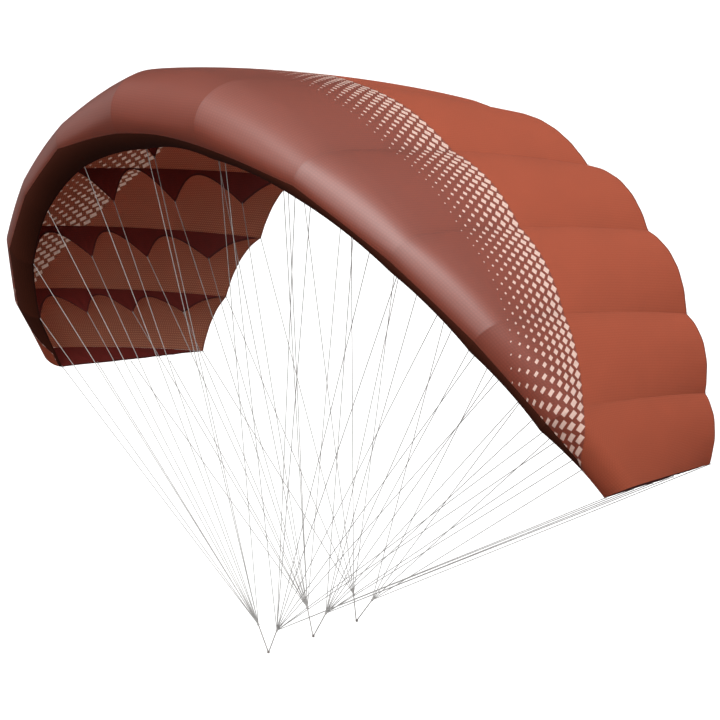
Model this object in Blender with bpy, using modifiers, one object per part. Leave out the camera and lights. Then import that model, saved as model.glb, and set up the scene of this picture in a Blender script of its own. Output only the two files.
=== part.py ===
"""A single-skin parawing in its flying shape: eleven cells of cloth on twelve scalloped ribs,
sixty suspension lines in six fans, and three V bridles.

Metres. X runs along the span, the nose faces -Y and Z is up. The origin is the flat foot of the
knot that ends the middle bridle.
"""
import math
from typing import NamedTuple

import bmesh
import bpy
import numpy as np
from mathutils import Matrix, Vector
from mathutils.geometry import interpolate_bezier

# ---------------------------------------------------------------- driving dimensions


class Station(NamedTuple):
    """A rib of the +X half: where it meets the nose's lower edge and the trailing edge."""

    nose: tuple
    tail: tuple
    reach: float  # the section's reach ahead of the nose's lower edge, against the centre's
    height: float  # the section's height, against the drawn one


STATIONS = (  # from the rib beside the centre cell out to the wing tip
    Station(nose=(0.170, -0.545, 1.661), tail=(0.180, 0.700, 1.684), reach=1.00, height=1.15),
    Station(nose=(0.490, -0.515, 1.569), tail=(0.522, 0.743, 1.536), reach=0.72, height=0.77),
    Station(nose=(0.760, -0.440, 1.387), tail=(0.766, 0.746, 1.352), reach=0.58, height=0.71),
    Station(nose=(0.965, -0.335, 1.168), tail=(0.944, 0.718, 1.113), reach=0.61, height=0.84),
    Station(nose=(1.105, -0.195, 0.938), tail=(1.066, 0.658, 0.887), reach=0.65, height=0.96),
    Station(nose=(1.200, -0.020, 0.721), tail=(1.132, 0.600, 0.682), reach=0.60, height=1.02),
)


class Billow(NamedTuple):
    """How far a cell swells between its ribs, in shares of its width."""

    nose: float
    tail: float


BILLOWS = (  # from the centre cell out to the tip cell
    Billow(nose=0.030, tail=0.08),
    Billow(nose=0.020, tail=0.13),
    Billow(nose=0.018, tail=0.155),
    Billow(nose=0.018, tail=0.14),
    Billow(nose=0.018, tail=0.135),
    Billow(nose=0.018, tail=0.12),
)
SWELL_POWER = 2.6  # how late along the section the swelling grows from nose to tail

# The wing section, in shares of the rib's chord: back from the nose's lower edge, and up.
NOSE_CURVE = ((0.0, 0.0), (-0.15, 0.015), (-0.15, 0.18), (0.06, 0.165))
BACK_CURVE = ((0.06, 0.165), (0.31, 0.147), (0.72, 0.075), (1.0, 0.0))
CURVE_STEPS = 33


class HangPoint(NamedTuple):
    """A pointed tooth on a rib's lower edge, the arch behind it and the line that hangs there."""

    along: float  # share of the chord
    rise: float  # share of the chord
    arch: float  # height of the arch from here to the next point, share of the chord
    line_gap: float  # from the point down to the line's end, metres
    bridle: int  # which of BRIDLES the line runs to


HANG_POINTS = (
    HangPoint(along=0.000, rise=0.000, arch=0.108, line_gap=0.0012, bridle=0),
    HangPoint(along=0.243, rise=0.000, arch=0.101, line_gap=0.0012, bridle=0),
    HangPoint(along=0.467, rise=-0.025, arch=0.089, line_gap=0.0012, bridle=1),
    HangPoint(along=0.722, rise=-0.058, arch=0.020, line_gap=0.0012, bridle=1),
    HangPoint(along=1.000, rise=0.000, arch=0.000, line_gap=0.0024, bridle=2),
)
ARCH_STEPS = 7


class Bridle(NamedTuple):
    """A V of cord: a fork under each half wing, and one end at the bar."""

    name: str
    end_y: float
    fork_y: float
    fork_z: float


BRIDLES = (
    Bridle(name="front", end_y=-0.210, fork_y=-0.213, fork_z=0.088),
    Bridle(name="middle", end_y=0.000, fork_y=0.016, fork_z=0.088),
    Bridle(name="rear", end_y=0.210, fork_y=0.240, fork_z=0.078),
)
FORK_X = 0.042  # from the middle of the wing to a fork
AIM_BRIDLE = BRIDLES[1]  # the ribs stand in line with the lines of this one

SEAM_SHARE = 0.58  # the nose cloth's share of the section at the centre
SEAM_REACH = 5.35  # cells from the centre to where the nose cloth runs out
SEAM_POWER = 3.4  # how late the seam turns down towards the nose's lower edge
SEAM_LEAST = 0.03  # share of the section kept as a strip at the tip
SEAM_TRIM = 0.0014  # from the seam to each of its panels, as a place on the section

CLOTH = 0.0012  # thickness of every sheet
GAP = 0.0003  # between pieces that touch
RIB_INSET = CLOTH + 0.0010  # rib's upper edge, below the outside of the panels
RIB_END = 0.6  # where the rib stops, share of the last row before the trailing edge

CELL_COLUMNS = 5
NOSE_ROWS = 9
TOP_ROWS = 7
TOP_ROW_POWER = 1.6

LINE_RADIUS = 0.00125
BRIDLE_RADIUS = 0.0016
FORK_KNOT_RADIUS = 0.0035
END_KNOT_RADIUS = 0.0040
END_KNOT_TOP_RADIUS = 0.0028
END_KNOT_HEIGHT = 0.0080
CORD_END = 0.0015  # where a cord ends inside its knot, from the knot's middle
TUBE_BEVEL_RESOLUTION = 2
KNOT_SEGMENTS = 12
KNOT_RINGS = 6
WELD = 0.000001


# ---------------------------------------------------------------- scene and materials


def clear_scene():
    for old in list(bpy.data.objects):
        bpy.data.objects.remove(old, do_unlink=True)


def new_collection(name, parent=None):
    made = bpy.data.collections.new(name)
    (parent or bpy.context.scene.collection).children.link(made)
    return made


def principled(name, colour, roughness):
    material = bpy.data.materials.new(name)
    material.use_nodes = True
    shader = material.node_tree.nodes["Principled BSDF"]
    shader.inputs["Base Color"].default_value = (*colour, 1.0)
    shader.inputs["Roughness"].default_value = roughness
    shader.inputs["Metallic"].default_value = 0.0
    return material


def add_object(name, data, material, collection):
    made = bpy.data.objects.new(name, data)
    if not data.materials:
        data.materials.append(material)
    collection.objects.link(made)
    return made


# ---------------------------------------------------------------- the wing section


def section_table():
    """Points along the section, with the share of its length at each."""
    halves = []
    for curve in (NOSE_CURVE, BACK_CURVE):
        corners = [Vector(point) for point in curve]
        halves.append(np.array(interpolate_bezier(*corners, CURVE_STEPS)))
    points = np.vstack([halves[0], halves[1][1:]])
    steps = np.linalg.norm(np.diff(points, axis=0), axis=1)
    shares = np.concatenate([[0.0], np.cumsum(steps)]) / steps.sum()
    return points, shares


SECTION, SECTION_SHARES = section_table()
# A place on the section: 0 at the nose's lower edge, 1 at the crest, 2 at the trailing edge.
PLACES = np.linspace(0.0, 2.0, len(SECTION))


def seam_place(cells_out):
    """Where the nose cloth ends, so many cells from the middle of the wing."""
    share = max(SEAM_LEAST, SEAM_SHARE * (1 - (abs(cells_out) / SEAM_REACH) ** SEAM_POWER))
    return float(np.interp(share, SECTION_SHARES, PLACES))


class Rib:
    """The plane of one rib: its chord, its upward direction and its place along the span."""

    def __init__(self, half_index, side):
        station = STATIONS[half_index]
        self.side = side
        self.nose = Vector(station.nose)
        self.tail = Vector(station.tail)
        fork = Vector((FORK_X, AIM_BRIDLE.fork_y, AIM_BRIDLE.fork_z))
        for point in (self.nose, self.tail, fork):
            point.x *= side
        self.chord = (self.tail - self.nose).length
        self.back = (self.tail - self.nose).normalized()
        lift = self.nose - fork
        self.up = (lift - lift.dot(self.back) * self.back).normalized()
        self.cells_out = side * (half_index + 0.5)
        self.reach = station.reach
        self.height = station.height

    def direction(self, flat):
        return flat.x * self.back + flat.y * self.up

    def section(self, place):
        """Shares of the chord, back and up, of a place on the section."""
        back, rise = (np.interp(place, PLACES, SECTION[:, axis]) for axis in (0, 1))
        if back < 0:
            back *= self.reach
        return Vector((back, rise * self.height))

    def outward(self, place):
        """The section's outward direction at a place, back and up."""
        step = PLACES[1]
        ahead = self.section(min(place + step, PLACES[-1]))
        behind = self.section(max(place - step, 0.0))
        along = (ahead - behind).normalized()
        return Vector((-along.y, along.x))

    def point(self, place):
        return self.nose + self.chord * self.direction(self.section(place))

    def hang_point(self, hang):
        return self.nose + self.chord * self.direction(Vector((hang.along, hang.rise)))

    def matrix(self):
        """From a flat outline, X back and Y up, to the rib's plane."""
        across = self.back.cross(self.up)
        turn = Matrix((self.back, self.up, across)).transposed().to_4x4()
        return Matrix.Translation(self.nose) @ turn


def make_ribs():
    """Every rib, from the -X tip to the +X tip."""
    half = range(len(STATIONS))
    return [Rib(i, -1) for i in reversed(half)] + [Rib(i, 1) for i in half]


# ---------------------------------------------------------------- cloth


def swell(left, right, place):
    """How far and which way a cell swells halfway across, at a place on the section."""
    drawn = []
    for rib in (left, right):
        outward = rib.outward(place)
        outward.y = abs(outward.y)  # the nose's lower edge is drawn up between the ribs
        drawn.append(rib.direction(outward))
    cell = BILLOWS[round(abs(left.cells_out + right.cells_out) / 2)]
    share = cell.nose + (cell.tail - cell.nose) * (place / PLACES[-1]) ** SWELL_POWER
    width = (right.point(place) - left.point(place)).length
    return (drawn[0] + drawn[1]).normalized() * float(share * width)


def cell_point(left, right, across, place):
    """A point on the outside of a cell, a share of the way across from one rib to the next."""
    straight = left.point(place).lerp(right.point(place), across)
    return straight + swell(left, right, place) * float(4 * across * (1 - across))


def nose_places(cells_out, trim=0.0):
    """The rows of the nose cloth, from its lower edge back to the seam."""
    return np.linspace(0.0, seam_place(cells_out) - trim, NOSE_ROWS + 1)


def top_places(cells_out, trim=0.0):
    """The rows of the top cloth, closer together where they start, at the seam."""
    start = seam_place(cells_out) + trim
    shares = np.linspace(0.0, 1.0, TOP_ROWS + 1) ** TOP_ROW_POWER
    return start + (PLACES[-1] - start) * shares


def panel(name, left, right, places_at, material, collection):
    """One cloth panel of a cell, a sheet lofted between its two ribs."""
    edge = GAP / (right.nose - left.nose).length
    columns = []
    grid = bmesh.new()
    for across in np.linspace(edge, 1 - edge, CELL_COLUMNS + 1):
        cells_out = left.cells_out + across * (right.cells_out - left.cells_out)
        places = places_at(cells_out, SEAM_TRIM)
        columns.append([grid.verts.new(cell_point(left, right, across, p)) for p in places])
    for near, far in zip(columns, columns[1:]):
        for i in range(len(near) - 1):
            grid.faces.new((near[i], far[i], far[i + 1], near[i + 1]))
    mesh = bpy.data.meshes.new(name)
    grid.to_mesh(mesh)
    grid.free()
    sheet = add_object(name, mesh, material, collection)
    thicken = sheet.modifiers.new("cloth", "SOLIDIFY")
    thicken.thickness = CLOTH
    thicken.offset = -1.0
    return sheet


def upper_edge(rib):
    """A rib's edge under the panels, from the nose's lower edge to just short of the tail."""
    edge = []
    for place in [*nose_places(rib.cells_out), *top_places(rib.cells_out)[1:]]:
        edge.append(rib.section(place) * rib.chord - rib.outward(place) * RIB_INSET)
    edge[-1] = edge[-2].lerp(edge[-1], RIB_END)
    return edge


def arched_edge(rib):
    """A rib's lower edge from the nose to the tail, an arch between each two hanging points."""
    edge = []
    for ahead, behind in zip(HANG_POINTS, HANG_POINTS[1:]):
        for share in np.linspace(0.0, 1.0, ARCH_STEPS + 1)[:-1]:
            along = ahead.along + share * (behind.along - ahead.along)
            rise = ahead.rise + share * (behind.rise - ahead.rise)
            rise += ahead.arch * math.sin(math.pi * share)
            edge.append(Vector((along, rise)) * rib.chord)
    return edge


def rib_outline(rib):
    """An inner rib's outline, closed by the arches that lie ahead of its back end."""
    upper = upper_edge(rib)
    lower = [point for point in arched_edge(rib)[1:] if point.x < upper[-1].x]
    return upper + lower[::-1]


def add_rib(name, rib, outline, material, collection):
    curve = bpy.data.curves.new(name, "CURVE")
    curve.dimensions = "2D"
    curve.fill_mode = "BOTH"
    curve.extrude = CLOTH / 2
    spline = curve.splines.new("POLY")
    spline.points.add(len(outline) - 1)
    for control, point in zip(spline.points, outline):
        control.co = (point.x, point.y, 0.0, 1.0)
    spline.use_cyclic_u = True
    made = add_object(name, curve, material, collection)
    made.matrix_world = rib.matrix()
    return made


def add_canopy(ribs, nose_cloth, top_cloth, rib_cloth, collection):
    for number, (left, right) in enumerate(zip(ribs, ribs[1:]), start=1):
        panel(f"nose_panel_{number:02d}", left, right, nose_places, nose_cloth, collection)
        panel(f"top_panel_{number:02d}", left, right, top_places, top_cloth, collection)
    for number, rib in enumerate(ribs, start=1):
        is_tip = number in (1, len(ribs))  # a tip rib's lower edge is straight
        outline = upper_edge(rib) if is_tip else rib_outline(rib)
        add_rib(f"rib_{number:02d}", rib, outline, rib_cloth, collection)


# ---------------------------------------------------------------- lines and bridles


def tube(name, start, end, radius, material, collection):
    """A straight round cord as a closed mesh."""
    curve = bpy.data.curves.new(name, "CURVE")
    curve.dimensions = "3D"
    curve.bevel_depth = radius
    curve.bevel_resolution = TUBE_BEVEL_RESOLUTION
    curve.use_fill_caps = True
    spline = curve.splines.new("POLY")
    spline.points.add(1)
    for control, point in zip(spline.points, (start, end)):
        control.co = (*point, 1.0)
    source = add_object(name + "_path", curve, material, collection)
    bpy.context.view_layer.update()
    evaluated = source.evaluated_get(bpy.context.evaluated_depsgraph_get())
    mesh = bpy.data.meshes.new_from_object(evaluated)
    bpy.data.objects.remove(source, do_unlink=True)
    weld = bmesh.new()
    weld.from_mesh(mesh)
    bmesh.ops.remove_doubles(weld, verts=weld.verts, dist=WELD)
    bmesh.ops.recalc_face_normals(weld, faces=weld.faces)
    weld.to_mesh(mesh)
    weld.free()
    return add_object(name, mesh, material, collection)


def round_knot(name, centre, material, collection):
    mesh = bpy.data.meshes.new(name)
    ball = bmesh.new()
    bmesh.ops.create_uvsphere(
        ball, u_segments=KNOT_SEGMENTS, v_segments=KNOT_RINGS, radius=FORK_KNOT_RADIUS
    )
    ball.to_mesh(mesh)
    ball.free()
    made = add_object(name, mesh, material, collection)
    made.location = centre
    return made


def flat_knot(name, foot, material, collection):
    """The knot at a bridle's end, a short round stub with a flat foot."""
    mesh = bpy.data.meshes.new(name)
    stub = bmesh.new()
    bmesh.ops.create_cone(
        stub,
        cap_ends=True,
        segments=KNOT_SEGMENTS,
        radius1=END_KNOT_RADIUS,
        radius2=END_KNOT_TOP_RADIUS,
        depth=END_KNOT_HEIGHT,
    )
    stub.to_mesh(mesh)
    stub.free()
    made = add_object(name, mesh, material, collection)
    made.location = foot + Vector((0.0, 0.0, END_KNOT_HEIGHT / 2))
    return made


def join_to(knot, cords, cutters):
    """Unite a knot with the cords that meet in it."""
    group = new_collection(knot.name + "_cords", cutters)
    for cord in cords:
        for holder in list(cord.users_collection):
            holder.objects.unlink(cord)
        group.objects.link(cord)
        cord.hide_render = True
        cord.display_type = "WIRE"
    unite = knot.modifiers.new("cords", "BOOLEAN")
    unite.operation = "UNION"
    unite.solver = "EXACT"
    unite.operand_type = "COLLECTION"
    unite.collection = group


def add_fan(bridle_index, side, ribs, material, collection, cutters):
    """The lines of one bridle from the ribs of one half wing, in one knot at the fork."""
    bridle = BRIDLES[bridle_index]
    half = "left" if side < 0 else "right"
    name = f"{bridle.name}_lines_{half}"
    fork = Vector((side * FORK_X, bridle.fork_y, bridle.fork_z))
    knot = round_knot(name, fork, material, collection)
    cords = []
    for rib in (rib for rib in ribs if rib.side == side):
        for hang in (hang for hang in HANG_POINTS if hang.bridle == bridle_index):
            top = rib.hang_point(hang)
            top += (fork - top).normalized() * hang.line_gap
            cord_name = f"{name}_{len(cords) + 1:02d}"
            foot = fork + (top - fork).normalized() * CORD_END
            cords.append(tube(cord_name, top, foot, LINE_RADIUS, material, cutters))
    return knot, cords


def add_bridle(bridle, material, collection, cutters):
    """The V of one bridle, from just under its two forks to the knot at its end."""
    name = f"{bridle.name}_bridle"
    knot = flat_knot(name, Vector((0.0, bridle.end_y, 0.0)), material, collection)
    middle = Vector((0.0, bridle.end_y, END_KNOT_HEIGHT / 2))
    cords = []
    for side, half in ((-1, "left"), (1, "right")):
        fork = Vector((side * FORK_X, bridle.fork_y, bridle.fork_z))
        down = (middle - fork).normalized()
        top = fork + down * (FORK_KNOT_RADIUS + GAP)
        foot = middle - down * CORD_END
        cords.append(tube(f"{name}_{half}", top, foot, BRIDLE_RADIUS, material, cutters))
    return knot, cords


# ---------------------------------------------------------------- the whole wing


def main():
    clear_scene()
    wing = new_collection("parawing")
    cutters = new_collection("cutters")
    nose_cloth = principled("nose_cloth", (0.27, 0.07, 0.05), roughness=0.40)
    top_cloth = principled("top_cloth", (0.51, 0.10, 0.045), roughness=0.60)
    rib_cloth = principled("rib_cloth", (0.065, 0.006, 0.005), roughness=0.65)
    line_cord = principled("line_cord", (0.32, 0.32, 0.32), roughness=0.55)

    ribs = make_ribs()
    knots = []
    for index, bridle in enumerate(BRIDLES):
        for side in (-1, 1):
            knots.append(add_fan(index, side, ribs, line_cord, wing, cutters))
        knots.append(add_bridle(bridle, line_cord, wing, cutters))
    for knot, cords in knots:
        join_to(knot, cords, cutters)
    add_canopy(ribs, nose_cloth, top_cloth, rib_cloth, wing)


if __name__ == "__main__":
    main()
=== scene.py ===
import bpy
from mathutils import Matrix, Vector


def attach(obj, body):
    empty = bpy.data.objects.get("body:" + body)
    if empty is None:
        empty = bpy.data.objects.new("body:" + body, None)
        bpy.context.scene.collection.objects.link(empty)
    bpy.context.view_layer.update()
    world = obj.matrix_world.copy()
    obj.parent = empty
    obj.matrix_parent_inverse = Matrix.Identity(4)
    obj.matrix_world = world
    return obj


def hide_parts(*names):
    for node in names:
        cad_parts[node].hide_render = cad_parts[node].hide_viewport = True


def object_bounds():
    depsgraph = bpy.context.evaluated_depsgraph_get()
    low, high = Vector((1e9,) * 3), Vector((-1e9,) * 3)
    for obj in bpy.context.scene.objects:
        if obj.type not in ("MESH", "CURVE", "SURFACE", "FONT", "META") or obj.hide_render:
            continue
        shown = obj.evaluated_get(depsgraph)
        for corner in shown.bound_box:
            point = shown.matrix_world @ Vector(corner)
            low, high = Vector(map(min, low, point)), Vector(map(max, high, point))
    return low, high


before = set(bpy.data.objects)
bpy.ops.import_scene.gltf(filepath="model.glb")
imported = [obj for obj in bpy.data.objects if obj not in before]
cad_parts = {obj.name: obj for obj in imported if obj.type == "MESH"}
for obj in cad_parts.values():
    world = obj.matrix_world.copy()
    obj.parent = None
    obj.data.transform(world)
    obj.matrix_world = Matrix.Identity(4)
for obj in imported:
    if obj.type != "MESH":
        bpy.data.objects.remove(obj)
CAD_BOX = [list(corner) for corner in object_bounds()]

# The looks of a single-skin parawing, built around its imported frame.
#
# Metres. X runs along the span, the nose faces -Y and Z is up. The origin is the flat foot of the
# knot that ends the middle bridle. The wing is cut and sewn from ripstop nylon: eleven cells, each a
# nose panel and a top panel, on twelve ribs that hang on sixty braided lines and three V bridles.

import logging
import math
from dataclasses import dataclass
from enum import Enum
from typing import Iterable, Mapping, NamedTuple, Sequence, Union

import bpy
import numpy as np
from mathutils import Euler, Vector
from mathutils.geometry import interpolate_bezier

LOG = logging.getLogger("parawing")
BODY = "root"
MM = 0.001
TINY = 1e-12
FULL_TURN = 2 * math.pi
Array = np.ndarray
Socket = bpy.types.NodeSocket
Value = Union[float, tuple, Socket, None]


def unit(vectors: Array) -> Array:
    """Vectors brought to length 1."""
    return vectors / np.maximum(np.linalg.norm(vectors, axis=-1, keepdims=True), TINY)


# ---------------------------------------------------------------- the cut of the wing


class Half(Enum):
    """The two half wings, by the sign of X."""

    LEFT = -1
    RIGHT = 1

    @property
    def word(self) -> str:
        """The half's name as the frame's nodes spell it."""
        return self.name.lower()


class Station(NamedTuple):
    """A rib of the right half: its two ends, and its section against the one at the centre."""

    nose: tuple[float, float, float]
    tail: tuple[float, float, float]
    reach: float
    height: float


class Billow(NamedTuple):
    """How far a cell swells between its ribs at its nose and tail, in shares of its width."""

    nose: float
    tail: float


class HangPoint(NamedTuple):
    """A tooth of a rib's lower edge in shares of its chord, and the bridle its line runs to."""

    along: float
    rise: float
    arch: float
    bridle: int


class BridleCut(NamedTuple):
    """A V bridle: where its forks are on the right half, and where it ends."""

    name: str
    end: tuple[float, float, float]
    fork: tuple[float, float, float]


@dataclass(frozen=True)
class Cut:
    """The wing's driving dimensions, the same as its CAD frame's.

    The seam between the two cloths lies at seam_share of the way round the section in the middle of
    the wing, and comes forward to seam_least at seam_reach cells out.
    """

    stations: tuple[Station, ...] = (
        Station((0.170, -0.545, 1.661), (0.180, 0.700, 1.684), reach=1.00, height=1.15),
        Station((0.490, -0.515, 1.569), (0.522, 0.743, 1.536), reach=0.72, height=0.77),
        Station((0.760, -0.440, 1.387), (0.766, 0.746, 1.352), reach=0.58, height=0.71),
        Station((0.965, -0.335, 1.168), (0.944, 0.718, 1.113), reach=0.61, height=0.84),
        Station((1.105, -0.195, 0.938), (1.066, 0.658, 0.887), reach=0.65, height=0.96),
        Station((1.200, -0.020, 0.721), (1.132, 0.600, 0.682), reach=0.60, height=1.02),
    )
    billows: tuple[Billow, ...] = (
        Billow(nose=0.030, tail=0.080),
        Billow(nose=0.020, tail=0.130),
        Billow(nose=0.018, tail=0.155),
        Billow(nose=0.018, tail=0.140),
        Billow(nose=0.018, tail=0.135),
        Billow(nose=0.018, tail=0.120),
    )
    swell_power: float = 2.6
    hang_points: tuple[HangPoint, ...] = (
        HangPoint(along=0.000, rise=0.000, arch=0.108, bridle=0),
        HangPoint(along=0.243, rise=0.000, arch=0.101, bridle=0),
        HangPoint(along=0.467, rise=-0.025, arch=0.089, bridle=1),
        HangPoint(along=0.722, rise=-0.058, arch=0.020, bridle=1),
        HangPoint(along=1.000, rise=0.000, arch=0.000, bridle=2),
    )
    bridles: tuple[BridleCut, ...] = (
        BridleCut("front", end=(0.0, -0.210, 0.0), fork=(0.042, -0.213, 0.088)),
        BridleCut("middle", end=(0.0, 0.000, 0.0), fork=(0.042, 0.016, 0.088)),
        BridleCut("rear", end=(0.0, 0.210, 0.0), fork=(0.042, 0.240, 0.078)),
    )
    nose_curve: tuple[tuple[float, float], ...] = (
        (0.0, 0.0), (-0.15, 0.015), (-0.15, 0.18), (0.06, 0.165)
    )
    back_curve: tuple[tuple[float, float], ...] = (
        (0.06, 0.165), (0.31, 0.147), (0.72, 0.075), (1.0, 0.0)
    )
    seam_share: float = 0.58
    seam_reach: float = 5.35
    seam_power: float = 3.4
    seam_least: float = 0.03


CUT = Cut()
CREST = 1.0  # the place on the section where the nose curve meets the back curve
TAIL = 2.0  # the place of the trailing edge; the nose's lower edge is at 0
CURVE_STEPS = 161


class Section:
    """The wing section's two curves, sampled finely, in shares of the chord."""

    def __init__(self, cut: Cut) -> None:
        """Sample both curves.

        Args:
            cut: The wing's dimensions.
        """
        halves = []
        for curve in (cut.nose_curve, cut.back_curve):
            corners = [Vector(point) for point in curve]
            halves.append(np.array(interpolate_bezier(*corners, CURVE_STEPS)))
        self.points = np.vstack([halves[0], halves[1][1:]])
        self.places = np.linspace(0.0, TAIL, len(self.points))
        steps = np.linalg.norm(np.diff(self.points, axis=0), axis=1)
        self.shares = np.concatenate([[0.0], np.cumsum(steps)]) / steps.sum()
        self.cut = cut

    def at(self, places: Array) -> Array:
        """Points of the section, back and up, at places from 0 to 2."""
        flat = [np.interp(places, self.places, self.points[:, axis]) for axis in (0, 1)]
        return np.stack(flat, axis=-1)

    def seam_place(self, cells_out: Array) -> Array:
        """Where the nose cloth ends.

        Args:
            cells_out: How many cells from the middle of the wing.

        Returns:
            The place on the section, for each of them.
        """
        out = (np.abs(cells_out) / self.cut.seam_reach) ** self.cut.seam_power
        share = np.maximum(self.cut.seam_least, self.cut.seam_share * (1 - out))
        return np.interp(share, self.shares, self.places)

    def place_of(self, back: Array) -> Array:
        """The place on the back curve that lies so far back along the chord."""
        behind = self.places >= CREST
        return np.interp(back, self.points[behind, 0], self.places[behind])


SECTION = Section(CUT)


class RibPlane:
    """The plane in which one rib stands, and its section and hanging points there."""

    def __init__(self, half: Half, index: int, cut: Cut = CUT) -> None:
        """Work out the plane from the rib's chord and the fork of the middle bridle.

        Args:
            half: The half wing that the rib is in.
            index: 0 beside the centre cell, rising to the tip.
            cut: The wing's dimensions.
        """
        station = cut.stations[index]
        mirror = np.array([half.value, 1.0, 1.0])
        self.half, self.index, self.cut = half, index, cut
        self.nose = np.array(station.nose) * mirror
        tail = np.array(station.tail) * mirror
        fork = np.array(cut.bridles[1].fork) * mirror
        self.chord = float(np.linalg.norm(tail - self.nose))
        self.back = (tail - self.nose) / self.chord
        lift = self.nose - fork
        self.up = unit(lift - lift.dot(self.back) * self.back)
        self.cells_out = half.value * (index + 0.5)
        self.scale = (station.reach, station.height)

    @property
    def number(self) -> int:
        """The rib's number, counted from 1 at the left tip."""
        count = len(self.cut.stations)
        return count - self.index if self.half is Half.LEFT else count + 1 + self.index

    @property
    def is_tip(self) -> bool:
        """Whether this rib closes the wing's end."""
        return self.index == len(self.cut.stations) - 1

    def spread(self, flat: Array) -> Array:
        """Turn directions in the rib's plane, back and up, into directions in space."""
        return flat[..., :1] * self.back + flat[..., 1:] * self.up

    def section(self, places: Array) -> Array:
        """The rib's own section.

        Args:
            places: Places on the section.

        Returns:
            Points, back and up, in shares of the rib's chord.
        """
        flat = SECTION.at(places)
        back = np.where(flat[..., 0] < 0, flat[..., 0] * self.scale[0], flat[..., 0])
        return np.stack([back, flat[..., 1] * self.scale[1]], axis=-1)

    def outward(self, places: Array) -> Array:
        """The section's outward direction.

        Args:
            places: Places on the section.

        Returns:
            A direction for each place, back and up.
        """
        step = SECTION.places[1]
        ahead = self.section(np.minimum(places + step, TAIL))
        behind = self.section(np.maximum(places - step, 0.0))
        along = unit(ahead - behind)
        return np.stack([-along[..., 1], along[..., 0]], axis=-1)

    def points(self, places: Array) -> Array:
        """Points of the section in space."""
        return self.nose + self.chord * self.spread(self.section(places))

    def hang_point(self, hang: HangPoint) -> Array:
        """Where a line hangs on the rib."""
        return self.nose + self.chord * self.spread(np.array([hang.along, hang.rise]))


def rib_planes(cut: Cut = CUT) -> list[RibPlane]:
    """Every rib's plane.

    Args:
        cut: The wing's dimensions.

    Returns:
        The planes, from the left tip to the right one.
    """
    indices = range(len(cut.stations))
    left = [RibPlane(Half.LEFT, i, cut) for i in reversed(indices)]
    return left + [RibPlane(Half.RIGHT, i, cut) for i in indices]


@dataclass(frozen=True)
class Cell:
    """The space between two ribs, over which the skin swells."""

    left: RibPlane
    right: RibPlane

    @property
    def number(self) -> int:
        """The cell's number, counted from 1 at the left tip."""
        return self.left.number

    @property
    def billow(self) -> Billow:
        """How the cell swells."""
        middle = abs(self.left.cells_out + self.right.cells_out) / 2
        return self.left.cut.billows[round(middle)]

    @property
    def width(self) -> float:
        """The cell's width across its crest, from rib to rib."""
        crest = np.array([CREST])
        return float(np.linalg.norm(self.right.points(crest) - self.left.points(crest)))

    def cells_out(self, across: Array) -> Array:
        """The place along the span, in cells from the middle of the wing."""
        return self.left.cells_out + across * (self.right.cells_out - self.left.cells_out)

    def surface(self, across: Array, places: Array) -> Array:
        """Points of the skin's outside.

        Args:
            across: Shares of the way from the left rib to the right one.
            places: Places on the section, an array of the same shape.

        Returns:
            An array of points with one more axis, of length 3.
        """
        near, far = self.left.points(places), self.right.points(places)
        swell = np.zeros_like(near)
        for rib in (self.left, self.right):
            outward = rib.outward(places)
            outward[..., 1] = np.abs(outward[..., 1])
            swell += rib.spread(outward)
        grown = (places / TAIL) ** self.left.cut.swell_power
        share = self.billow.nose + (self.billow.tail - self.billow.nose) * grown
        width = np.linalg.norm(far - near, axis=-1)
        depth = share * width * arched(across)
        side = across[..., None]
        return near * (1 - side) + far * side + unit(swell) * depth[..., None]


def arched(across: Array) -> Array:
    """A parabola that is 0 at both sides of a cell and 1 in its middle."""
    return 4 * across * (1 - across)


# ---------------------------------------------------------------- meshes


def measured(points: Array, axis: int) -> Array:
    """The length of the way from a grid's first points to each point.

    Args:
        points: The grid of points.
        axis: The axis along which the way runs.

    Returns:
        The lengths, in metres.
    """
    steps = np.linalg.norm(np.diff(points, axis=axis), axis=-1)
    start = np.zeros_like(np.take(steps, [0], axis=axis))
    return np.concatenate([start, np.cumsum(steps, axis=axis)], axis=axis)


def grid_normals(points: Array) -> Array:
    """Unit normals of a grid of points."""
    return unit(np.cross(np.gradient(points, axis=0), np.gradient(points, axis=1)))


def grid_faces(rows: int, columns: int) -> list[tuple[int, int, int, int]]:
    """Four-sided faces between neighbouring points of a grid.

    Args:
        rows: Points along the first axis.
        columns: Points along the second axis.

    Returns:
        The corner indices of each face.
    """
    faces = []
    for i in range(rows - 1):
        for j in range(columns - 1):
            near, far = i * columns + j, (i + 1) * columns + j
            faces.append((near, far, far + 1, near + 1))
    return faces


def cloth_mesh(
    name: str, points: Array, along: Array, wide: Array, numbers: Mapping[str, Array]
) -> bpy.types.Mesh:
    """Make a sheet's mesh with its cloth coordinates and the numbers that its finish reads.

    Args:
        name: The mesh's name.
        points: The grid of points, columns then rows.
        along: Each point's way along its column, in metres.
        wide: Each point's way across its row, in metres.
        numbers: Named numbers for each point.

    Returns:
        The mesh.
    """
    mesh = bpy.data.meshes.new(name)
    mesh.from_pydata(points.reshape(-1, 3).tolist(), [], grid_faces(*points.shape[:2]))
    mesh.shade_smooth()
    corners, sides = np.empty((2, len(mesh.loops)), dtype=np.int32)
    mesh.loops.foreach_get("vertex_index", corners)
    mesh.loops.foreach_get("edge_index", sides)
    cloth = np.stack([wide.reshape(-1), along.reshape(-1)], axis=-1)[corners]
    mesh.uv_layers.new(name="cloth").data.foreach_set("uv", cloth.astype(np.float32).ravel())
    border = np.bincount(sides, minlength=len(mesh.edges)) == 1
    mesh.attributes.new("sharp_edge", "BOOLEAN", "EDGE").data.foreach_set("value", border)
    for key, values in numbers.items():
        made = mesh.attributes.new(key, "FLOAT", "POINT")
        made.data.foreach_set("value", values.reshape(-1).astype(np.float32))
    return mesh


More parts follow.
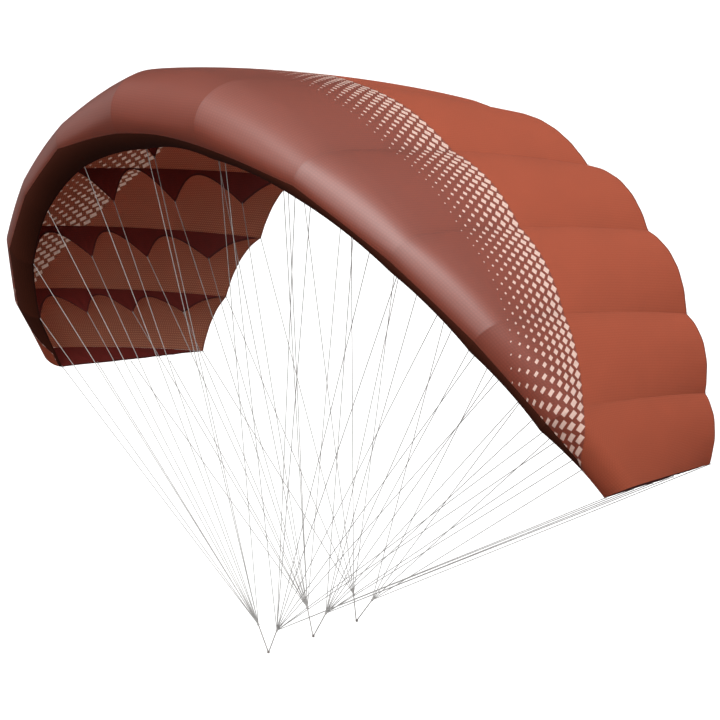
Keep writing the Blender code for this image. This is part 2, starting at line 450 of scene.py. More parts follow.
def new_object(
    name: str, data: bpy.types.ID, materials: Iterable[bpy.types.Material]
) -> bpy.types.Object:
    """Link a new object into the scene.

    Args:
        name: The object's name.
        data: Its mesh or curve.
        materials: The materials of its slots, in order.

    Returns:
        The object.
    """
    for material in materials:
        data.materials.append(material)
    made = bpy.data.objects.new(name, data)
    bpy.context.scene.collection.objects.link(made)
    return made


def settle(piece: bpy.types.Object, nodes: Sequence[str] = ()) -> bpy.types.Object:
    """Make a piece ride on the frame.

    Args:
        piece: The new object.
        nodes: The frame's nodes that it stands for.

    Returns:
        The same object.
    """
    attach(piece, BODY)
    if nodes:
        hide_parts(*nodes)
    LOG.info("%s stands for %s", piece.name, ", ".join(nodes) or "itself")
    return piece


# ---------------------------------------------------------------- nodes and colours


FALL = (1.0, 0.0)  # what a mask is at its two ends as it fades out
SMOOTH = {"interpolation_type": "SMOOTHSTEP"}
NOISE_ROUGHNESS = 0.55
SHARE, FIRST, SECOND, BLENDED = 0, 6, 7, 2  # a Mix node's sockets for colours, and its output


def linear(colour: str) -> tuple[float, float, float, float]:
    """Turn an sRGB hex value into linear RGBA."""
    parts = [int(colour[i:i + 2], 16) / 255 for i in (1, 3, 5)]
    return (*(p / 12.92 if p <= 0.04045 else ((p + 0.055) / 1.055) ** 2.4 for p in parts), 1.0)


class Tree:
    """The nodes of a material or of the world."""

    def __init__(self, owner: Union[bpy.types.Material, bpy.types.World]) -> None:
        """Start from the owner's own nodes."""
        owner.use_nodes = True
        self.nodes = owner.node_tree

    def feed(self, socket: Socket, value: Value) -> None:
        """Link an output to a socket or set the socket's own value.

        Args:
            socket: The input.
            value: The output, the value, or None to leave the input as it is.
        """
        if isinstance(value, Socket):
            self.nodes.links.new(value, socket)
        elif value is not None:
            socket.default_value = value

    def add(
        self,
        kind: str,
        inputs: Union[Sequence[Value], Mapping[Union[int, str], Value]] = (),
        out: Union[int, str] = 0,
        **settings: object,
    ) -> Socket:
        """Add a node with its settings and links.

        Args:
            kind: The node's type, without the word ShaderNode.
            inputs: Its inputs, in order or by name or number.
            out: The name or number of the output that is wanted.
            settings: The node's own properties.

        Returns:
            That output.
        """
        made = self.nodes.nodes.new("ShaderNode" + kind)
        for name, value in settings.items():
            setattr(made, name, value)
        given = inputs if isinstance(inputs, Mapping) else dict(enumerate(inputs))
        for key, value in given.items():
            self.feed(made.inputs[key], value)
        return made.outputs[out]

    def off_middle(self, place: Socket, pitch: float) -> Socket:
        """How far a place lies from the middle of a repeat.

        Args:
            place: The place, in metres.
            pitch: The length of the repeat.

        Returns:
            The distance, in metres.
        """
        repeats = self.add("Math", (place, pitch), operation="DIVIDE")
        share = self.add("Math", (repeats,), operation="FRACT")
        off = self.add("Math", (share, 0.5), operation="SUBTRACT")
        away = self.add("Math", (off,), operation="ABSOLUTE")
        return self.add("Math", (away, pitch), operation="MULTIPLY")


class Surface(Tree):
    """A new material's nodes, with its shader."""

    def __init__(self, name: str) -> None:
        """Start a material.

        Args:
            name: The material's name.
        """
        self.material = bpy.data.materials.new(name)
        super().__init__(self.material)
        self.shader = self.nodes.nodes["Principled BSDF"]

    def set(self, **values: Value) -> None:
        """Set or link the shader's own sockets.

        Args:
            values: Values or outputs by the socket's name, its spaces written as underscores.
        """
        for name, value in values.items():
            self.feed(self.shader.inputs[name.replace("_", " ")], value)

    def let_light_through(self, share: float, tint: Value) -> None:
        """Mix light that passes through the sheet into the surface.

        Args:
            share: How much of the surface passes light.
            tint: The colour that the light takes on.
        """
        through = self.add("BsdfTranslucent", {"Color": tint})
        mixed = self.add("MixShader", (share, self.shader.outputs[0], through))
        self.feed(self.nodes.nodes["Material Output"].inputs["Surface"], mixed)


# ---------------------------------------------------------------- finishes


@dataclass(frozen=True)
class Motif:
    """Rows of small printed diamonds that shrink away from the seam between the two cloths.

    The print is a thin pale ink, and light that passes through it from behind stays pale too. The
    sizes run down to just below nothing, by vanish, so that the last row leaves no dots.
    """

    ink: str = "#DCC0B5"
    glow: str = "#FFF0E6"
    pitch: float = 34 * MM
    row_gap: float = 30 * MM
    rows: float = 10.0
    half_size: float = 15.5 * MM
    shrink: float = 0.6
    vanish: float = 1 * MM
    edge: float = 0.4 * MM

    def mask(self, tree: Tree) -> Socket:
        """Where the ink is, from the cloth's numbers named span and join_gap.

        Args:
            tree: The material's nodes.

        Returns:
            1 on the ink and 0 beside it.
        """
        add = tree.add
        span = add("Attribute", out="Fac", attribute_name="span")
        gap = add("Attribute", out="Fac", attribute_name="join_gap")
        rows_down = add("Math", (gap, self.row_gap), operation="DIVIDE")
        row = add("Math", (rows_down,), operation="FLOOR")
        shifted = add("Math", (row, self.pitch / 2, span), operation="MULTIPLY_ADD")
        across, down = tree.off_middle(shifted, self.pitch), tree.off_middle(gap, self.row_gap)
        reach = add("Math", (across, down), operation="ADD")
        gone = add("Math", (row, self.rows), operation="DIVIDE")
        left = add("Math", (1.0, gone), operation="SUBTRACT")
        left = add("Math", (left, 0.0), operation="MAXIMUM")
        left = add("Math", (left, self.shrink), operation="POWER")
        largest = self.half_size + self.vanish
        size = add("Math", (left, largest, -self.vanish), operation="MULTIPLY_ADD")
        past = add("Math", (reach, size), operation="SUBTRACT")
        return add("MapRange", (past, -self.edge, self.edge, *FALL), **SMOOTH)


@dataclass(frozen=True)
class RipstopNylon:
    """Ripstop nylon, woven from fine yarn with a thicker one every few millimetres.

    The thick yarns stand up as a fine square grid, drawn 9 mm apart where real ones are about 5 mm,
    and wider than real, so that they show. Bare cloth is dull and passes some light. A silicone coat
    adds a satin gloss on top; its index is above silicone's usual 1.41, which brings the shine up to
    the real cloth's. Handling leaves faint clouds in the colour and soft creases, and each hem is
    darker because the cloth lies double there.
    """

    name: str
    face: str
    grid_tint: str
    roughness: float = 0.75
    gloss: float = 0.5
    coat: float = 0.0
    glow: str = "#000000"
    glow_share: float = 0.0
    motif: Motif | None = None
    ior: float = 1.53
    coat_roughness: float = 0.45
    coat_ior: float = 1.60
    grid_pitch: float = 9 * MM
    grid_width: float = 2.4 * MM
    grid_core: float = 0.3
    grid_depth: float = 0.10 * MM
    grid_share: float = 0.45
    cloud_size: float = 180 * MM
    cloud_shade: float = 0.16
    cloud_roughness: float = 0.10
    crinkle_size: float = 45 * MM
    crinkle_depth: float = 0.5 * MM
    hem_width: float = 8 * MM
    hem_edge: float = 1 * MM
    hem_depth: float = 0.3 * MM
    hem_tint: str = "#270D0A"
    hem_share: float = 0.5
    stitch_row: float = 5 * MM
    stitch_length: float = 4 * MM
    stitch_dash: tuple[float, float] = (1.32 * MM, 1.60 * MM)
    stitch_width: tuple[float, float] = (0.4 * MM, 0.9 * MM)
    stitch_share: float = 0.10
    stitch_height: float = 0.5

    def material(self) -> bpy.types.Material:
        """Build the material.

        Returns:
            The material.
        """
        tree = Surface(self.name)
        add = tree.add
        cloth = add("UVMap", uv_map="cloth")
        wide, along, _ = add("SeparateXYZ", (cloth,)).node.outputs
        grid, stitches = self.grid(tree, wide, along), self.stitches(tree, wide, along)
        hem_gap = add("Attribute", out="Fac", attribute_name="hem_gap")
        hem = add("MapRange", (hem_gap, self.hem_width - self.hem_edge, self.hem_width, *FALL), **SMOOTH)
        noise = {"Vector": cloth, "Roughness": NOISE_ROUGHNESS}
        clouds = add("TexNoise", {**noise, "Scale": 1 / self.cloud_size, "Detail": 2.0})
        creases = add("TexNoise", {**noise, "Scale": 1 / self.crinkle_size, "Detail": 3.0})

        darkest = 1 - self.cloud_shade / 2
        shade = add("Math", (clouds, self.cloud_shade, darkest), operation="MULTIPLY_ADD")
        yarns = add("Math", (grid, self.grid_share), operation="MULTIPLY")
        doubled = add("Math", (hem, self.hem_share), operation="MULTIPLY")
        thread = add("Math", (stitches, self.stitch_share), operation="MULTIPLY")
        glow: Value = linear(self.glow)
        printed = []
        if self.motif:
            ink = self.motif.mask(tree)
            printed = [(ink, linear(self.motif.ink), "MIX")]
            tints = {SHARE: ink, FIRST: glow, SECOND: linear(self.motif.glow)}
            glow = add("Mix", tints, BLENDED, data_type="RGBA")
        colour: Value = linear(self.face)
        for share, tint, way in (
            (yarns, linear(self.grid_tint), "MIX"),
            (1.0, shade, "MULTIPLY"),
            *printed,
            (doubled, linear(self.hem_tint), "MIX"),
            (thread, linear(self.grid_tint), "MIX"),
        ):
            tints = {SHARE: share, FIRST: colour, SECOND: tint}
            colour = add("Mix", tints, BLENDED, data_type="RGBA", blend_type=way)

        raised = add("Math", (stitches, self.stitch_height, grid), operation="MULTIPLY_ADD")
        normal = None
        for height, depth in (
            (creases, self.crinkle_depth), (raised, self.grid_depth), (hem, self.hem_depth)
        ):
            normal = add("Bump", {"Strength": 1.0, "Distance": depth, "Height": height, "Normal": normal})
        smoothest = self.roughness - self.cloud_roughness / 2
        rough = add("Math", (clouds, self.cloud_roughness, smoothest), operation="MULTIPLY_ADD")
        tree.set(Base_Color=colour, Roughness=rough, Normal=normal)
        tree.set(IOR=self.ior, Specular_IOR_Level=self.gloss)
        tree.set(Coat_Weight=self.coat, Coat_Roughness=self.coat_roughness, Coat_IOR=self.coat_ior)
        if self.glow_share:
            tree.let_light_through(self.glow_share, glow)
        return tree.material

    def grid(self, tree: Tree, wide: Socket, along: Socket) -> Socket:
        """Where the thick yarns run, both ways.

        Args:
            tree: The material's nodes.
            wide: The way across the cloth.
            along: The way along it.

        Returns:
            1 on a yarn and 0 between yarns.
        """
        yarns = []
        for place in (wide, along):
            off = tree.off_middle(place, self.grid_pitch)
            core = self.grid_width * self.grid_core
            yarns.append(tree.add("MapRange", (off, core, self.grid_width, *FALL), **SMOOTH))
        return tree.add("Math", yarns, operation="MAXIMUM")

    def stitches(self, tree: Tree, wide: Socket, along: Socket) -> Socket:
        """A row of stitches beside each rib seam and inside each hem.

        Args:
            tree: The material's nodes.
            wide: The way across the cloth.
            along: The way along it.

        Returns:
            1 on a stitch and 0 elsewhere.
        """
        rows = []
        for name, place in (("seam_gap", along), ("hem_gap", wide)):
            gap = tree.add("Attribute", out="Fac", attribute_name=name)
            beside = tree.add("Math", (gap, self.stitch_row), operation="SUBTRACT")
            beside = tree.add("Math", (beside,), operation="ABSOLUTE")
            row = tree.add("MapRange", (beside, *self.stitch_width, *FALL), **SMOOTH)
            off = tree.off_middle(place, self.stitch_length)
            dash = tree.add("MapRange", (off, *self.stitch_dash, *FALL), **SMOOTH)
            rows.append(tree.add("Math", (row, dash), operation="MULTIPLY"))
        return tree.add("Math", rows, operation="MAXIMUM")


@dataclass(frozen=True)
class BindingTape:
    """Woven polyester tape that binds a raw edge.

    It is dark and dull. The ribs of its weave shade it faintly, drawn 1.5 mm apart where real ones
    are about 0.5 mm.
    """

    name: str
    face: str
    shade: str = "#000000"
    shade_share: float = 0.3
    weave: float = 1.5 * MM
    weave_depth: float = 0.1 * MM
    roughness: float = 0.7
    ior: float = 1.57

    def material(self) -> bpy.types.Material:
        """Build the material.

        Returns:
            The material.
        """
        tree = Surface(self.name)
        weave = tree.add("TexNoise", {
            "Vector": tree.add("TexCoord", out="Object"),
            "Scale": 1 / self.weave,
            "Detail": 2.0,
            "Roughness": NOISE_ROUGHNESS,
        })
        share = tree.add("Math", (weave, self.shade_share), operation="MULTIPLY")
        tints = {SHARE: share, FIRST: linear(self.face), SECOND: linear(self.shade)}
        ridges = tree.add("Bump", {"Strength": 1.0, "Distance": self.weave_depth, "Height": weave})
        tree.set(Base_Color=tree.add("Mix", tints, BLENDED, data_type="RGBA"), Normal=ridges)
        tree.set(Roughness=self.roughness, IOR=self.ior)
        return tree.material


@dataclass(frozen=True)
class BraidedCord:
    """Braided polyester sheath over a straight core.

    The crossing strands show as a fine diamond braid, drawn 6 mm long where the real one is about
    2 mm, and the sheath scatters light softly.
    """

    name: str
    face: str
    shade: str
    braid: float = 6 * MM
    braid_depth: float = 0.3 * MM
    scatter: float = 0.6
    gap: float = 0.18
    roughness: float = 0.6
    ior: float = 1.57
    sheen: float = 0.2
    sheen_roughness: float = 0.5

    def material(self) -> bpy.types.Material:
        """Build the material.

        Returns:
            The material.
        """
        tree = Surface(self.name)
        place = tree.add("TexCoord", out="Object")
        cells = {"Vector": place, "Scale": 1 / self.braid, "Randomness": self.scatter}
        strands = tree.add("TexVoronoi", cells, "Distance", feature="DISTANCE_TO_EDGE")
        gaps = tree.add("MapRange", (strands, 0.0, self.gap, *FALL), **SMOOTH)
        tints = {SHARE: gaps, FIRST: linear(self.face), SECOND: linear(self.shade)}
        ridges = tree.add("Bump", {"Strength": 1.0, "Distance": self.braid_depth, "Height": strands})
        tree.set(Base_Color=tree.add("Mix", tints, BLENDED, data_type="RGBA"), Normal=ridges)
        tree.set(Roughness=self.roughness, IOR=self.ior)
        tree.set(Sheen_Weight=self.sheen, Sheen_Roughness=self.sheen_roughness)
        return tree.material


class Finishes:
    """Every material of the wing."""

    def __init__(self) -> None:
        """Build the materials."""
        # Brown-red cloth, coated on its outside: a satin gloss with a broad pale shine.
        self.nose_face = RipstopNylon(
            "nose_ripstop_nylon",
            face="#8A4534",
            grid_tint="#5A2418",
            roughness=0.45,
            coat=1.0,
            glow="#D98C70",
            glow_share=0.38,
            motif=Motif(),
        ).material()
        # Orange-red cloth without a coat: dull, and even in tone.
        self.top_face = RipstopNylon(
            "top_ripstop_nylon", face="#A75439", grid_tint="#8C3F28", glow="#E09070", glow_share=0.38
        ).material()
        # The insides of both cloths: paler and dull, lit by what passes through from above.
        self.nose_back = RipstopNylon(
            "nose_ripstop_nylon_back",
            face="#BC997C",
            grid_tint="#5E2A1C",
            glow="#D09078",
            glow_share=0.38,
            motif=Motif(),
            grid_share=0.80,
        ).material()
        self.top_back = RipstopNylon(
            "top_ripstop_nylon_back",
            face="#C09C7F",
            grid_tint="#5E2A1C",
            glow="#D89078",
            glow_share=0.38,
            grid_share=0.80,
        ).material()
        # Dark red cloth of the ribs: dull, and it passes no light.
        self.rib = RipstopNylon(
            "rib_ripstop_nylon", face="#741A10", grid_tint="#5E120B", roughness=0.80
        ).material()
        # The strip under the nose: painted shade, a dark dull colour that stands for the shade on the
        # nose's underside, almost without a shine.
        self.lip = RipstopNylon(
            "lip_ripstop_nylon", face="#481F12", grid_tint="#3C180D", roughness=0.85, gloss=0.1
        ).material()
        # Dark, dull binding on the cut edges.
        self.tape = BindingTape("edge_polyester_tape", face="#3A120D").material()
        # Pale grey lines and darker grey bridles: soft, even and slightly fuzzy.
        self.line = BraidedCord("line_braided_polyester", face="#A8A6A4", shade="#989694").material()
        self.bridle = BraidedCord("bridle_braided_polyester", face="#7E7672", shade="#56504C").material()


# ---------------------------------------------------------------- the skin


class Cloth(Enum):
    """The two cloths of the skin, each with its node name and material slot."""

    NOSE = "nose"
    TOP = "top"

    def node(self, cell: Cell) -> str:
        """The frame's node for this cloth of a cell."""
        return f"{self.value}_panel_{cell.number:02d}"

    @property
    def slot(self) -> str:
        """A slot name for this cloth."""
        return f"{self.value}_cloth"


class Lip(NamedTuple):
    """How wide the painted shade under the nose is, so many cells from the middle of the wing."""

    cells_out: float
    width: float


@dataclass
class Skin:
    """The outer skin: a nose panel and a top panel to each cell, sewn together along the ribs.

    Small folds, the puckers, run off each seam. The nose is pulled flat up to the place
    nose_taut_until on the section, and swells in full from nose_taut_end on. The lip is the strip
    along the nose's lower edge; its darker colour is painted shade, standing for the shade on the
    nose's underside.
    """

    finishes: Finishes
    thickness: float = 0.6 * MM
    layers: int = 3  # an outside, an inside and an edge
    columns: int = 44
    nose_rows: int = 52
    lip_rows: int = 12
    top_rows: int = 56
    pucker_depth: float = 0.4 * MM
    pucker_reach: float = 22 * MM
    pucker_lengths: tuple[float, ...] = (31 * MM, 47 * MM, 83 * MM)
    pucker_least: float = 0.1
    flutter: float = 0.5 * MM
    flutter_length: float = 70 * MM
    flutter_power: float = 12.0
    nose_taut_until: float = 0.50
    nose_taut_end: float = 1.05
    # Widths of the strip whose dark colour is painted shade on the nose's underside.
    lip: tuple[Lip, ...] = (
        Lip(cells_out=0.0, width=0.140),
        Lip(cells_out=1.5, width=0.122),
        Lip(cells_out=2.5, width=0.100),
        Lip(cells_out=3.5, width=0.104),
        Lip(cells_out=4.5, width=0.094),
        Lip(cells_out=5.5, width=0.050),
    )
    lip_samples: int = 80
    lip_most: float = 0.8

    def build(self, cells: Sequence[Cell]) -> list[bpy.types.Object]:
        """Build every panel.

        Args:
            cells: The wing's cells, from the left tip to the right one.

        Returns:
            The panels.
        """
        start = -sum(cell.width for cell in cells) / 2
        made = []
        for cell in cells:
            made += [self.panel(cell, cloth, start) for cloth in Cloth]
            start += cell.width
        return made

    def lip_place(self, cell: Cell, across: Array) -> Array:
        """Where the darker strip ends.

        Args:
            cell: The cell.
            across: Shares of the way across it.

        Returns:
            The place on the section, for each share.
        """
        out, widths = zip(*self.lip)
        wanted = np.interp(np.abs(cell.cells_out(across)), out, widths)
        samples = np.linspace(0.0, CREST, self.lip_samples)
        sides, places = np.meshgrid(across, samples, indexing="ij")
        along = measured(cell.surface(sides, places), 1)
        return np.array([np.interp(w, a, samples) for w, a in zip(wanted, along)])

    def places(self, cloth: Cloth, cell: Cell, across: Array) -> Array:
        """Rows of places on the section for one cloth.

        Args:
            cloth: The nose cloth or the top cloth.
            cell: The cell.
            across: Shares of the way across it, one to each column.

        Returns:
            The places, columns then rows.
        """
        seam = SECTION.seam_place(cell.cells_out(across))[:, None]
        if cloth is Cloth.TOP:
            return seam + (TAIL - seam) * np.linspace(0.0, 1.0, self.top_rows)
        lip = np.minimum(self.lip_place(cell, across)[:, None], self.lip_most * seam)
        strip = lip * np.linspace(0.0, 1.0, self.lip_rows, endpoint=False)
        return np.hstack([strip, lip + (seam - lip) * np.linspace(0.0, 1.0, self.nose_rows)])

    def panel(self, cell: Cell, cloth: Cloth, start: float) -> bpy.types.Object:
        """Build one panel.

        Args:
            cell: The cell that it covers.
            cloth: The nose cloth or the top cloth.
            start: How far along the span the cell starts, in metres from the wing's middle.

        Returns:
            The panel.
        """
        across = np.linspace(0.0, 1.0, self.columns)
        places = self.places(cloth, cell, across)
        sides = np.repeat(across[:, None], places.shape[1], axis=1)
        smooth = cell.surface(sides, places)
        along, wide = measured(smooth, 1), measured(smooth, 0)
        left = along[:, -1:] - along
        relief = self.relief(cell, places, along, wide)
        points = smooth + grid_normals(smooth) * relief[..., None]
        numbers = {
            "seam_gap": self.seam_gap(wide),
            "hem_gap": along if cloth is Cloth.NOSE else left,
            "join_gap": left if cloth is Cloth.NOSE else along,
            "span": start + sides * cell.width,
        }
        mesh = cloth_mesh(cloth.node(cell) + "_cloth", points, along, wide, numbers)
        made = new_object(mesh.name, mesh, self.materials(cloth))
        if cloth is Cloth.NOSE:
            # The strip's faces take the lip material, a dark colour painted as the shade under the nose.
            in_lip = np.arange(places.shape[1] - 1) < self.lip_rows
            index = np.tile(np.where(in_lip, self.layers, 0), len(across) - 1)
            mesh.polygons.foreach_set("material_index", index.astype(np.int32))
        thicken = made.modifiers.new("cloth", "SOLIDIFY")
        thicken.thickness = self.thickness
        thicken.offset = -1.0
        thicken.material_offset = 1
        thicken.material_offset_rim = 2
        settle(made, [cloth.node(cell)])
        return made

    def materials(self, cloth: Cloth) -> tuple[bpy.types.Material, ...]:
        """The materials of one cloth's slots.

        Args:
            cloth: The nose cloth or the top cloth.

        Returns:
            The outside, inside and edge, and for the nose the same three for the strip under it, whose
            outside colour is painted shade.
        """
        finishes = self.finishes
        if cloth is Cloth.TOP:
            return finishes.top_face, finishes.top_back, finishes.tape
        inside = (finishes.nose_back, finishes.tape)
        return finishes.nose_face, *inside, finishes.lip, *inside

    @staticmethod
    def seam_gap(wide: Array) -> Array:
        """How far each point is from the nearer rib seam."""
        return np.minimum(wide, wide[-1:] - wide)

    def relief(self, cell: Cell, places: Array, along: Array, wide: Array) -> Array:
        """How far the cloth stands off its plain shape.

        The seams draw small folds, the trailing edge flutters, and the nose is pulled nearly flat.

        Args:
            cell: The cell.
            places: Each point's place on the section.
            along: Each point's way along its column, in metres.
            wide: Each point's way across its row, in metres.

        Returns:
            The distances, in metres, positive outwards.
        """
        draw = np.random.default_rng(cell.number)
        near_left = wide < wide[-1:] / 2
        back = places / TAIL
        near = self.seam_gap(wide) / self.pucker_reach
        folds = np.zeros_like(along)
        for length in self.pucker_lengths:
            phases = draw.uniform(0.0, FULL_TURN, 2)
            folds += np.sin(FULL_TURN * along / length + np.where(near_left, *phases))
        folds *= self.pucker_depth / len(self.pucker_lengths) * near * np.exp(1 - near)
        folds *= self.pucker_least + (1 - self.pucker_least) * back ** 2
        wave = np.sin(FULL_TURN * wide / self.flutter_length + draw.uniform(0.0, FULL_TURN))
        wave *= self.flutter * back ** self.flutter_power * np.minimum(1.0, near)
        eased = (places - self.nose_taut_until) / (self.nose_taut_end - self.nose_taut_until)
        eased = np.clip(eased, 0.0, 1.0)
        taut = 1 - eased * eased * (3 - 2 * eased)
        swell = cell.billow.nose * wide[-1:] * arched(wide / wide[-1:])
        return folds + wave - taut * swell


# ---------------------------------------------------------------- the ribs


@dataclass
class Ribs:
    """Twelve flat ribs with arched lower edges, one between each two cells and one at each tip.

    The lines draw shallow pulls in them, which end at pull_end of the height below the upper edge.
    """

    finishes: Finishes
    thickness: float = 0.5 * MM
    inset: float = 0.7 * MM
    fan_columns: int = 14
    arch_columns: int = 26
    rows: int = 13
    pull_depth: float = 0.9 * MM
    pull_reach: float = 70 * MM
    pull_folds: int = 9
    pull_end: float = 0.25
    seed: int = 100

    def build(self, ribs: Sequence[RibPlane]) -> list[bpy.types.Object]:
        """Build every rib."""
        return [self.rib(rib) for rib in ribs]

    def stations(self, rib: RibPlane) -> tuple[Array, Array]:
        """Matching stations of the lower and the upper edge.

        Args:
            rib: The rib's plane.

        Returns:
            Shares of the chord on the lower edge, and places on the section above them.
        """
        crest = rib.cut.back_curve[0][0]
        fan = np.linspace(0.0, 1.0, self.fan_columns, endpoint=False)
        backs = [fan * crest]
        for ahead, behind in zip(rib.cut.hang_points, rib.cut.hang_points[1:]):
            first = max(ahead.along, crest)
            backs.append(np.linspace(first, behind.along, self.arch_columns, endpoint=False))
        lower = np.concatenate([*backs, [1.0]])
        upper = np.concatenate([fan * CREST, SECTION.place_of(lower[len(fan):])])
        return lower, upper

    def lower_edge(self, rib: RibPlane, along: Array) -> Array:
        """The rib's arched lower edge; a tip rib's is straight.

        Args:
            rib: The rib's plane.
            along: Shares of the way along the chord.

        Returns:
            Points, back and up, in shares of the chord.
        """
        rise = np.zeros_like(along)
        if not rib.is_tip:
            for ahead, behind in zip(rib.cut.hang_points, rib.cut.hang_points[1:]):
                share = np.clip((along - ahead.along) / (behind.along - ahead.along), 0.0, 1.0)
                inside = (along >= ahead.along) & (along <= behind.along)
                straight = ahead.rise + share * (behind.rise - ahead.rise)
                rise = np.where(inside, straight + ahead.arch * np.sin(math.pi * share), rise)
        return np.stack([along, rise], axis=-1)

    def rib(self, rib: RibPlane) -> bpy.types.Object:
        """Build one rib.

        Args:
            rib: The rib's plane.

        Returns:
            The rib.
        """
        lower_along, upper_places = self.stations(rib)
        lower = self.lower_edge(rib, lower_along)[:, None] * rib.chord
        upper = rib.section(upper_places) * rib.chord - rib.outward(upper_places) * self.inset
        share = np.linspace(0.0, 1.0, self.rows)[None, :, None]
        flat = lower * (1 - share) + upper[:, None] * share
        side = np.cross(rib.back, rib.up)
        points = rib.nose + rib.spread(flat) + self.relief(rib, flat)[..., None] * side
        wide, tall = flat[..., 0], flat[..., 1]
        numbers = {
            "hem_gap": np.linalg.norm(flat - lower, axis=-1),
            "seam_gap": np.linalg.norm(flat - upper[:, None], axis=-1),
        }
        name = f"rib_{rib.number:02d}"
        mesh = cloth_mesh(name + "_cloth", points, tall, wide, numbers)
        made = new_object(mesh.name, mesh, (self.finishes.rib, self.finishes.tape))
        thicken = made.modifiers.new("cloth", "SOLIDIFY")
        thicken.thickness = self.thickness
        thicken.offset = 0.0
        thicken.material_offset_rim = 1
        settle(made, [name])
        return made

    def relief(self, rib: RibPlane, flat: Array) -> Array:
        """Shallow pulls in the cloth that fan up from each hanging point.

        Args:
            rib: The rib's plane.
            flat: The rib's points, back and up, in metres.

        Returns:
            How far each point stands out of the plane, in metres.
        """
        depth = np.zeros(flat.shape[:2])
        draw = np.random.default_rng(self.seed + rib.number)
        for hang in rib.cut.hang_points:
            off = flat - np.array([hang.along, hang.rise]) * rib.chord
            angle = np.arctan2(off[..., 0], off[..., 1])
            near = np.linalg.norm(off, axis=-1) / self.pull_reach
            folds = np.sin(self.pull_folds * angle + draw.uniform(0.0, FULL_TURN))
            depth += near * np.exp(1 - near) * folds
        left = 1 - np.linspace(0.0, 1.0, self.rows)[None, :]
        return depth * self.pull_depth * np.minimum(1.0, left / self.pull_end)


# ---------------------------------------------------------------- lines and bridles


def cord_object(
    name: str, points: Array, radius: float, material: bpy.types.Material
) -> bpy.types.Object:
    """Make a round cord as a curve of one open spline.

    Args:
        name: The cord's name.
        points: Its route.
        radius: Its radius.
        material: Its material.

    Returns:
        The cord.
    """
    curve = bpy.data.curves.new(name, "CURVE")
    curve.dimensions = "3D"
    curve.bevel_depth = radius
    curve.bevel_resolution = 2
    curve.use_fill_caps = True
    spline = curve.splines.new("POLY")
    spline.points.add(len(points) - 1)
    for control, point in zip(spline.points, points):
        control.co = (*point, 1.0)
    return new_object(name, curve, [material])


def ring_object(
    name: str,
    rings: Sequence[Array],
    radius: float,
    material: bpy.types.Material,
    foot: float = -math.inf,
    sides: int = 8,
) -> bpy.types.Object:
    """Make closed rings of round cord as one piece.

    Args:
        name: The piece's name.
        rings: The points of each ring.
        radius: The cord's radius.
        material: The cord's material.
        foot: The height at which the piece stands flat.
        sides: Points round the cord.

    Returns:
        The piece.
    """
    points, faces = [], []
    turn = np.linspace(0.0, FULL_TURN, sides, endpoint=False)[None, :, None]
    for number, ring in enumerate(rings):
        ahead = unit(np.roll(ring, -1, axis=0) - np.roll(ring, 1, axis=0))
        aside = unit(np.cross(ahead, ring - ring.mean(axis=0)))
        upright = np.cross(aside, ahead)
        round_cord = np.cos(turn) * aside[:, None] + np.sin(turn) * upright[:, None]
        points.append((ring[:, None] + radius * round_cord).reshape(-1, 3))
        count = len(ring)
        first = number * count * sides
        for i in range(count):
            near, far = first + i * sides, first + (i + 1) % count * sides
            for j in range(sides):
                k = (j + 1) % sides
                faces.append((near + j, near + k, far + k, far + j))
    spots = np.concatenate(points)
    spots[:, 2] = np.maximum(spots[:, 2], foot)
    mesh = bpy.data.meshes.new(name)
    mesh.from_pydata(spots.tolist(), [], faces)
    mesh.shade_smooth()
    return new_object(name, mesh, [material])


